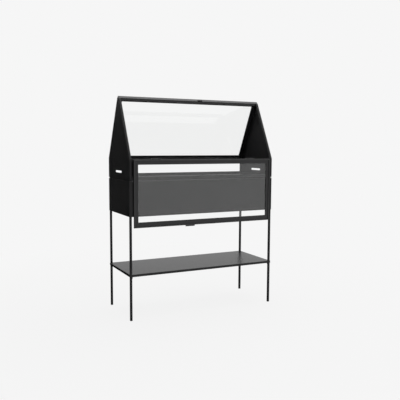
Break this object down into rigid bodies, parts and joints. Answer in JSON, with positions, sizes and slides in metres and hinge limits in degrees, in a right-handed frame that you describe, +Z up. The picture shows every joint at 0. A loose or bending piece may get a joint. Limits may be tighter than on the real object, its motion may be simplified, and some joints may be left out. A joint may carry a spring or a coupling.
{
  "type": "greenhouse planter",
  "caption": "Raised sheet-metal trough on slim legs with a low shelf and a glazed house-shaped top whose front roof panel is hinged at the eave and swings over to hang in front.",
  "frame": {"origin": "on the ground under the centre of the whole part's box, with the front panel hanging", "axes": "+X along the width to the right seen from the front, +Y to the back, +Z up"},
  "size_m": [0.914, 0.3754, 1.2425],
  "materials": {
    "black_steel": "fine-textured black powder coat",
    "clear_glass": "clear float glass",
    "buffer_rubber": "matt black",
    "glide_plastic": "moulded, matt",
    "catch_plastic": "moulded, matt",
    "bright_steel": "bright zinc plate",
    "screw_black": "black oxide"
  },
  "bodies": {
    "stand": {"left_front_leg": "black_steel", "left_back_leg": "black_steel", "right_front_leg": "black_steel", "right_back_leg": "black_steel", "front_ring_rail": "black_steel", "back_ring_rail": "black_steel", "left_ring_rail": "black_steel", "right_ring_rail": "black_steel", "trough_front_wall": "black_steel", "trough_back_wall": "black_steel", "trough_left_wall": "black_steel", "trough_right_wall": "black_steel", "leg_glides": "glide_plastic", "shelf_tray": "black_steel", "shelf_clips": "black_steel", "shelf_screws": "screw_black", "trough_floor": "black_steel", "trough_screws": "screw_black"},
    "greenhouse_top": {"left_gable_bottom_bar": "black_steel", "left_gable_back_post": "black_steel", "left_gable_back_rafter": "black_steel", "left_gable_top_bar": "black_steel", "left_gable_front_rafter": "black_steel", "left_gable_front_post": "black_steel", "left_gable_sheet": "black_steel", "right_gable_bottom_bar": "black_steel", "right_gable_back_post": "black_steel", "right_gable_back_rafter": "black_steel", "right_gable_top_bar": "black_steel", "right_gable_front_rafter": "black_steel", "right_gable_front_post": "black_steel", "right_gable_sheet": "black_steel", "front_eave_rail": "black_steel", "back_eave_rail": "black_steel", "front_sill_rail": "black_steel", "back_sill_rail": "black_steel", "ridge_beam": "black_steel", "ridge_angle": "black_steel", "back_ledge_frame": "black_steel", "back_glass": "clear_glass", "back_glazing_beads": "black_steel", "seat_buffers": "buffer_rubber", "ridge_catch": "catch_plastic", "hinge_fixed_leaves": "black_steel", "hinge_pins": "bright_steel", "fixed_leaf_screws": "screw_black"},
    "front_panel": {"panel_hinge_rail": "black_steel", "panel_free_rail": "black_steel", "panel_left_stile": "black_steel", "panel_right_stile": "black_steel", "panel_glass": "clear_glass", "panel_glazing_beads": "black_steel", "pull_lip": "black_steel", "strike_plate": "bright_steel", "hinge_moving_leaves": "black_steel", "moving_leaf_screws": "screw_black"}
  },
  "joints": [
    {"name": "greenhouse_lift", "type": "slide", "parent": "stand", "child": "greenhouse_top", "axis": [0, 0, 1], "range_m": [0, 0.15]},
    {"name": "front_panel_hinge", "type": "hinge", "parent": "greenhouse_top", "child": "front_panel", "pos_m": [0, -0.17865, 0.893], "axis": [-1, 0, 0], "range_deg": [0, 206.4]}
  ]
}
